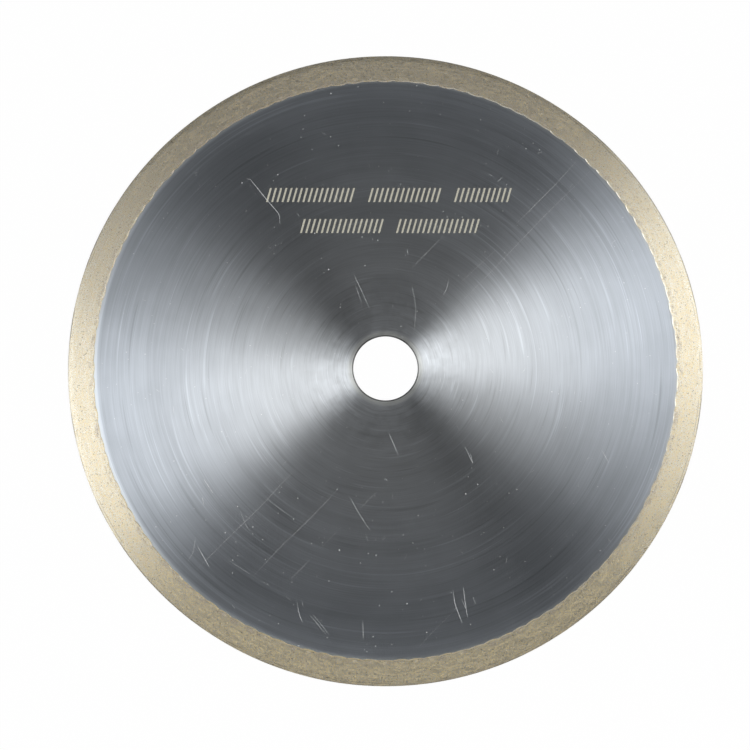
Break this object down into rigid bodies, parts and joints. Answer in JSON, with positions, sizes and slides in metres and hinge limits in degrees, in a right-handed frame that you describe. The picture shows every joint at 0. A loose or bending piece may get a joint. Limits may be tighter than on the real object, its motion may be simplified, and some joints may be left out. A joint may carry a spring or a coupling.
{
  "type": "diamond cutting disc",
  "caption": "Thin round cutting disc: a flat brushed steel core with a central arbor bore and a continuous sintered bronze diamond rim around its edge.",
  "frame": {"origin": "on the bore's axis at the disc's underside, where the rim rests", "axes": "+Z along the bore's axis, through the disc's thickness; X and Y lie in the disc's plane, and the disc looks the same along both"},
  "size_m": [0.125, 0.125, 0.0004],
  "materials": {
    "brushed_steel_core": "brushed in circles about the bore",
    "sintered_bronze_rim": "matt and fine-grained, as sintered and dressed"
  },
  "bodies": {
    "root": {"steel_core": "brushed_steel_core", "diamond_rim": "sintered_bronze_rim"}
  },
  "joints": []
}
